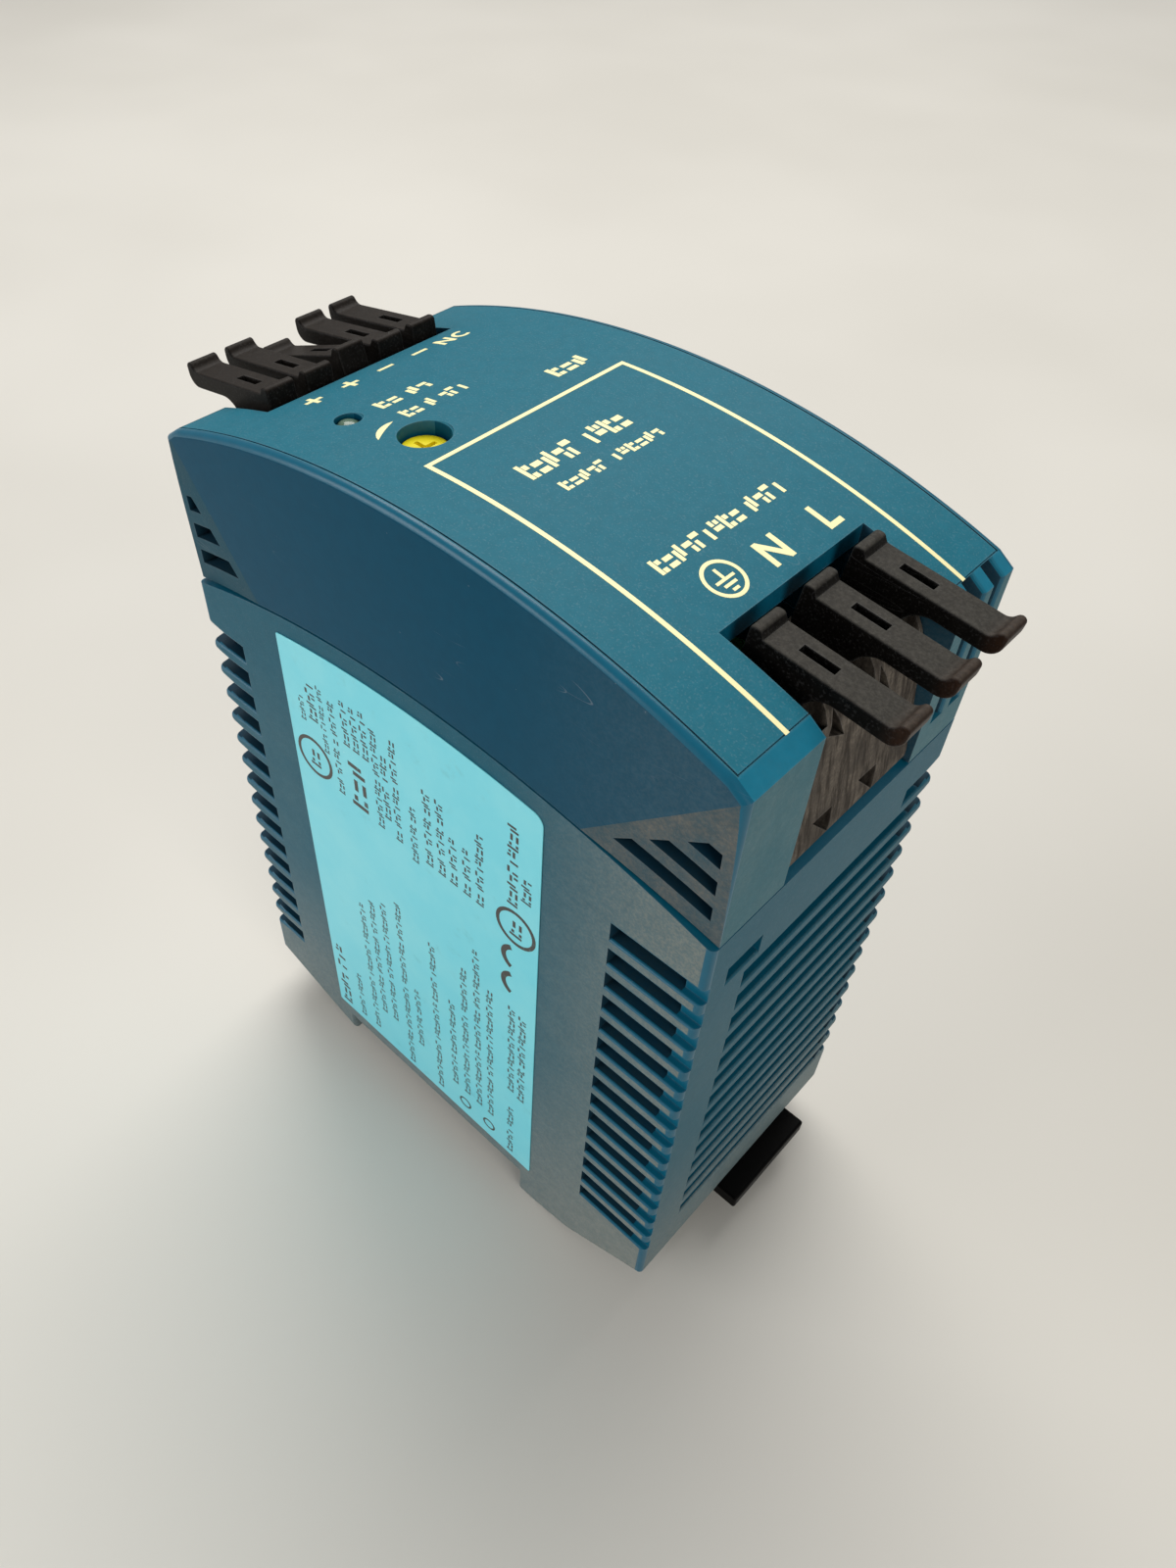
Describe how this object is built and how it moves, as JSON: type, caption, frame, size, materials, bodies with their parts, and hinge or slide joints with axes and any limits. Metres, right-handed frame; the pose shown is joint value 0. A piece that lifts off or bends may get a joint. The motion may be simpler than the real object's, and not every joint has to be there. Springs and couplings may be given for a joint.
{
  "type": "din rail power supply",
  "caption": "Slim rail-mounted power supply: louvred body, curved front hood with rows of press-down terminal levers at both ends, a turning trimmer and a sprung rail latch.",
  "frame": {"origin": "middle of the flat seat that lies on the 35 mm rail: on the rail's centre line, at half the body's width", "axes": "+Z out of the front, away from the rail; +X towards the input terminals and the latch; +Y across the body along the rail, with the rating label on the -Y side"},
  "size_m": [0.0869, 0.0416, 0.1075],
  "materials": {
    "case_plastic": "satin moulded, petrol blue",
    "lever_plastic": "dark brown-black, semi-gloss",
    "block_plastic": "dusty dark brown-black",
    "latch_plastic": "satin black",
    "rotor_plastic": "bright yellow",
    "label_film": "printed film, light cyan",
    "lens_plastic": "milky clear",
    "board": "solder-resist green",
    "insulation_film": "translucent film",
    "black_plastic": "moulded black",
    "spring_steel": "bright spring strip",
    "tinned_copper": "tinned copper bar",
    "aluminium": "plain extruded",
    "ferrite": "dark sintered",
    "copper_wire": "enamelled copper wire",
    "sleeve": "can with a dark shrink sleeve",
    "epoxy": "moulded epoxy",
    "blue_coating": "dipped blue coating",
    "yellow_box": "boxed film capacitor yellow",
    "glass_tube": "clear glass with plated caps"
  },
  "bodies": {
    "case": {"body_shell": "case_plastic", "front_hood": "case_plastic", "rating_label": "label_film", "input_terminal_block": "block_plastic", "output_terminal_block": "block_plastic", "latch_spring": "spring_steel", "front_board": "board", "main_board": "board", "insulation_sheet": "insulation_film", "indicator_board": "board", "pin_header": "black_plastic", "status_led": "lens_plastic", "light_guide": "lens_plastic", "trimmer_base": "blue_coating", "fuse": "glass_tube", "varistor": "blue_coating", "x_capacitor": "yellow_box", "choke_core": "ferrite", "choke_winding_1": "copper_wire", "choke_winding_2": "copper_wire", "bridge_rectifier": "epoxy", "bulk_capacitor": "sleeve", "heat_sink": "aluminium", "switching_transistor": "epoxy", "output_diode": "epoxy", "transformer_core": "ferrite", "transformer_bobbin": "black_plastic", "transformer_winding": "copper_wire", "output_capacitor_1": "sleeve", "output_capacitor_2": "sleeve", "optocoupler": "epoxy", "input_clamp_spring_1": "spring_steel", "input_clamp_spring_2": "spring_steel", "input_clamp_spring_3": "spring_steel", "output_clamp_spring_1": "spring_steel", "output_clamp_spring_2": "spring_steel", "output_clamp_spring_3": "spring_steel", "output_clamp_spring_4": "spring_steel", "output_clamp_spring_5": "spring_steel", "input_contact_bar_1": "tinned_copper", "input_contact_bar_2": "tinned_copper", "input_contact_bar_3": "tinned_copper", "output_contact_bar_1": "tinned_copper", "output_contact_bar_2": "tinned_copper", "output_contact_bar_3": "tinned_copper", "output_contact_bar_4": "tinned_copper", "output_contact_bar_5": "tinned_copper"},
    "input_lever_1": {"input_lever_1": "lever_plastic"},
    "input_lever_2": {"input_lever_2": "lever_plastic"},
    "input_lever_3": {"input_lever_3": "lever_plastic"},
    "output_lever_1": {"output_lever_1": "lever_plastic"},
    "output_lever_2": {"output_lever_2": "lever_plastic"},
    "output_lever_3": {"output_lever_3": "lever_plastic"},
    "output_lever_4": {"output_lever_4": "lever_plastic"},
    "output_lever_5": {"output_lever_5": "lever_plastic"},
    "rail_latch": {"rail_latch": "latch_plastic"},
    "trimmer_rotor": {"trimmer_rotor": "rotor_plastic"}
  },
  "joints": [
    {"name": "input_lever_1_press", "type": "hinge", "parent": "case", "child": "input_lever_1", "pos_m": [0.0346, -0.0072, 0.0962], "axis": [0, 1, 0], "range_deg": [0, 18], "stiffness_Nm_per_rad": 0.25, "springref_deg": -8.59},
    {"name": "input_lever_2_press", "type": "hinge", "parent": "case", "child": "input_lever_2", "pos_m": [0.0346, 0.0003, 0.0962], "axis": [0, 1, 0], "range_deg": [0, 18], "stiffness_Nm_per_rad": 0.25, "springref_deg": -8.59},
    {"name": "input_lever_3_press", "type": "hinge", "parent": "case", "child": "input_lever_3", "pos_m": [0.0346, 0.0078, 0.0962], "axis": [0, 1, 0], "range_deg": [0, 18], "stiffness_Nm_per_rad": 0.25, "springref_deg": -8.59},
    {"name": "output_lever_1_press", "type": "hinge", "parent": "case", "child": "output_lever_1", "pos_m": [-0.0304, -0.0111, 0.0962], "axis": [0, -1, 0], "range_deg": [0, 18], "stiffness_Nm_per_rad": 0.25, "springref_deg": -8.59},
    {"name": "output_lever_2_press", "type": "hinge", "parent": "case", "child": "output_lever_2", "pos_m": [-0.0304, -0.0061, 0.0962], "axis": [0, -1, 0], "range_deg": [0, 18], "stiffness_Nm_per_rad": 0.25, "springref_deg": -8.59},
    {"name": "output_lever_3_press", "type": "hinge", "parent": "case", "child": "output_lever_3", "pos_m": [-0.0304, -0.0011, 0.0962], "axis": [0, -1, 0], "range_deg": [-10, 8]},
    {"name": "output_lever_4_press", "type": "hinge", "parent": "case", "child": "output_lever_4", "pos_m": [-0.0304, 0.0039, 0.0962], "axis": [0, -1, 0], "range_deg": [0, 18], "stiffness_Nm_per_rad": 0.25, "springref_deg": -8.59},
    {"name": "output_lever_5_press", "type": "hinge", "parent": "case", "child": "output_lever_5", "pos_m": [-0.0304, 0.0089, 0.0962], "axis": [0, -1, 0], "range_deg": [0, 18], "stiffness_Nm_per_rad": 0.25, "springref_deg": -8.59},
    {"name": "rail_latch_slide", "type": "slide", "parent": "case", "child": "rail_latch", "axis": [1, 0, 0], "range_m": [0, 0.0035], "stiffness_N_per_m": 3000, "springref_m": -0.0017, "deforming": ["latch_spring"]},
    {"name": "trimmer_turn", "type": "hinge", "parent": "case", "child": "trimmer_rotor", "pos_m": [-0.0066, -0.0094, 0.0936], "axis": [0, 0, 1], "range_deg": [-135, 135]}
  ]
}
